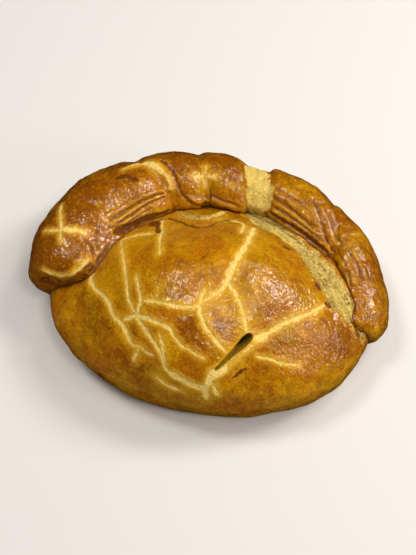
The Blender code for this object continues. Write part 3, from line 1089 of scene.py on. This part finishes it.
def make_roll():
    shells = bmesh.new()
    folds = [point for _, *form in FOLDS for point in add_shell(shells, form, FOLD_RINGS)]
    core = add_shell(shells, CORE, CORE_RINGS)
    mesh = bpy.data.meshes.new("shells")
    shells.to_mesh(mesh)
    shells.free()

    bm = bmesh.new()
    skin = fused(mesh, FUSED_STEP)
    bm.from_mesh(skin)
    bpy.data.meshes.remove(skin)
    bmesh.ops.smooth_vert(bm, verts=bm.verts, factor=0.5, use_axis_x=True, use_axis_y=True, use_axis_z=True)
    bmesh.ops.recalc_face_normals(bm, faces=bm.faces)
    form = BVHTree.FromBMesh(bm)
    places, normals = vertex_arrays(bm)

    turn = np.degrees(np.arctan2(places[:, 1] - OUTLINE_ORIGIN.y, places[:, 0] - OUTLINE_ORIGIN.x))
    torn = torn_roll(places, turn, folds, core, form)
    in_torn = smooth_share(torn, *GAP_WALL)
    inside_x, inside_y, inside_reach = ROLL_INSIDE
    inward = inside_reach - np.hypot(places[:, 0] - inside_x, places[:, 1] - inside_y)
    fall = np.degrees(np.arctan2(places[:, 2] - crimp_place(GAP_MIDDLE_TURN)[0].z, inward))
    fibres = np.array([
        fibre(radians(across) * FIBRE_SPREAD, along * FIBRE_STRETCH, GAP_FIBRE_SEED)
        for across, along in zip(turn, fall)
    ])

    split, _ = edge_distance(places, routes(ROLL_SPLITS, form))
    plates = unseen_plates(places, normals, ROLL_FACING, ROLL_HEIGHTS, ROLL_COVER, LUMP_SEED * 2)
    split = np.minimum(split, plates)
    rim, _ = edge_distance(places, routes(ROLL_RIMS, form))
    ridge, _ = edge_distance(places, routes(ROLL_RIDGES, form))
    crease, _ = edge_distance(places, routes(ROLL_CREASES, form))
    spot, _ = edge_distance(places, routes(ROLL_SPOTS, form))
    cut_end, _ = edge_distance(places, route(CUT_END, form, [CUT_END_WIDTH] * len(CUT_END)))

    rise = np.array([swelling(Vector(place), ROLL_SWELLINGS, Vector()) for place in places])
    rise -= SPLIT_DEPTH * smooth_share(split, *SPLIT_WALL)
    rise += RIM_LIFT * raised_line(np.maximum(rim, 0), 0, RIM_SPREAD)
    rise += RIDGE_LIFT * raised_line(np.maximum(ridge, 0), 0, RIDGE_SPREAD)
    rise -= CREASE_DEPTH * smooth_share(crease, *CREASE_WALL)
    rise += GAP_FIBRE_SHARE * FIBRE_DEPTH * fibres * in_torn
    for vertex, place, normal, height in zip(bm.verts, places, normals, rise):
        vertex.co = Vector(place + normal * height)
    hollow = hollows(bm, rounds=2)

    mesh = bpy.data.meshes.new("rolled_edge")
    bm.to_mesh(mesh)
    bm.free()
    set_attribute(mesh, "split", np.minimum(split, rim) * MILLIMETRES)
    set_attribute(mesh, "dark", np.minimum(spot, crease) * MILLIMETRES)
    set_attribute(mesh, "torn", torn * MILLIMETRES)
    set_attribute(mesh, "slit", np.full(len(places), NO_LINE_NEAR) * MILLIMETRES)
    set_attribute(mesh, "browned_and_shaded", ROLL_BROWNNESS + patches(places, ROLL_BROWN_AND_SHADE_PATCHES, form))
    set_attribute(mesh, "layers", smooth_share(cut_end, *CUT_END_WALL))
    set_attribute(mesh, "hollow", hollow)
    set_attribute(mesh, "streaks", GAP_PALENESS + fibres)
    mesh.shade_smooth()
    roll = bpy.data.objects.new("rolled_edge", mesh)
    bpy.context.scene.collection.objects.link(roll)
    return roll


def shade_and_brown_where_tucked(piece, other, reach):
    """Marks how close each point of a piece lies to the other, to paint shade and pooled egg wash there."""
    points = [vertex.co for vertex in other.data.vertices]
    tree = BVHTree.FromPolygons(points, [tuple(face.vertices) for face in other.data.polygons])
    shares = []
    for vertex in piece.data.vertices:
        place, normal, _, apart = tree.find_nearest(vertex.co, 4 * reach)
        if place is None:
            shares.append(0.0)
        elif (vertex.co - place).dot(normal) < 0:
            shares.append(1.0)
        else:
            shares.append(exp(-apart / reach))
    set_attribute(piece.data, "tucked", shares)


roll = make_roll()
roll.data.materials.append(pastry)
shade_and_brown_where_tucked(body, roll, BODY_TUCK)
shade_and_brown_where_tucked(roll, body, ROLL_TUCK)
for piece in (body, roll):
    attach(piece, "root")
    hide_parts("pasty")


# The table: a plain pale floor, with nothing on it but the pasty. Far off it glows with painted light up to
# the backdrop's tone, as a lit studio sweep looks, so that no dark horizon shows from the side.
FLOOR_SIZE = 6
FLOOR_COLOUR = (226, 224, 220)
FLOOR_ROUGHNESS = 0.9
GLOW_START = 0.5
GLOW_END = 1.7
FLOOR_GLOW = 0.66


def make_floor():
    bm = bmesh.new()
    bmesh.ops.create_grid(bm, x_segments=2, y_segments=2, size=FLOOR_SIZE / 2)
    mesh = bpy.data.meshes.new("floor")
    bm.to_mesh(mesh)
    bm.free()
    floor = bpy.data.objects.new("floor", mesh)
    bpy.context.scene.collection.objects.link(floor)
    shades = Shades("pale_table")
    shades.shader.inputs["Base Color"].default_value = screen_colour(FLOOR_COLOUR)
    shades.shader.inputs["Roughness"].default_value = FLOOR_ROUGHNESS
    far = shades.tree.nodes.new("ShaderNodeVectorMath")
    far.operation = "LENGTH"
    shades.put(shades.where, far.inputs[0])
    glow = shades.share(far.outputs["Value"], GLOW_START, GLOW_END, 0, FLOOR_GLOW)
    shades.put(glow, shades.shader.inputs["Emission Strength"])
    shades.shader.inputs["Emission Color"].default_value = (1, 1, 1, 1)
    mesh.materials.append(shades.material)
    floor.visible_glossy = False
    return floor


make_floor()


# The light: soft studio lamps high on the left and on the right, whose reflections lie where the glaze
# shines in the photograph, a wide soft one overhead, and a dim, even surround. Each lamp has its direction,
# distance, size and power, and whether the glaze mirrors it.
LAMPS = (
    ("left_lamp", (-0.37, 0.12, 0.92), 0.9, 0.22, 2.4, True),
    ("right_lamp", (0.65, 0.33, 0.68), 0.9, 0.23, 3.3, True),
    ("back_lamp", (0.38, 0.42, 0.82), 0.9, 0.17, 1.2, True),
    ("front_lamp", (0.34, -0.22, 0.91), 0.9, 0.17, 1.3, True),
    ("low_lamp", (0.87, -0.16, 0.46), 0.9, 0.17, 0.9, True),
    ("overhead_lamp", (0.20, -0.10, 0.97), 1.1, 0.80, 2.4, False),
)
LAMP_COLOUR = (1.0, 0.96, 0.93)
SURROUND = 0.16
BACKDROP = 0.80


def make_lamps():
    for name, direction, distance, size, power, reflected in LAMPS:
        lamp = bpy.data.objects.new(name, bpy.data.lights.new(name, "AREA"))
        bpy.context.scene.collection.objects.link(lamp)
        lamp.data.shape = "DISK"
        lamp.data.size = size
        lamp.data.energy = power
        lamp.data.color = LAMP_COLOUR
        lamp.location = Vector(direction).normalized() * distance
        lamp.rotation_euler = Vector(direction).to_track_quat("Z", "Y").to_euler()
        lamp.visible_glossy = reflected


def make_surround():
    world = bpy.data.worlds.new("surround")
    bpy.context.scene.world = world
    world.use_nodes = True
    tree = world.node_tree
    background = tree.nodes["Background"]
    background.inputs["Color"].default_value = (1, 1, 1, 1)
    seen = tree.nodes.new("ShaderNodeLightPath")
    strength = tree.nodes.new("ShaderNodeMix")
    strength.inputs[2].default_value = SURROUND
    strength.inputs[3].default_value = BACKDROP
    tree.links.new(seen.outputs["Is Camera Ray"], strength.inputs[0])
    tree.links.new(strength.outputs[0], background.inputs["Strength"])
    world.cycles_visibility.glossy = False


make_lamps()
make_surround()
bpy.context.scene.view_settings.view_transform = "Standard"
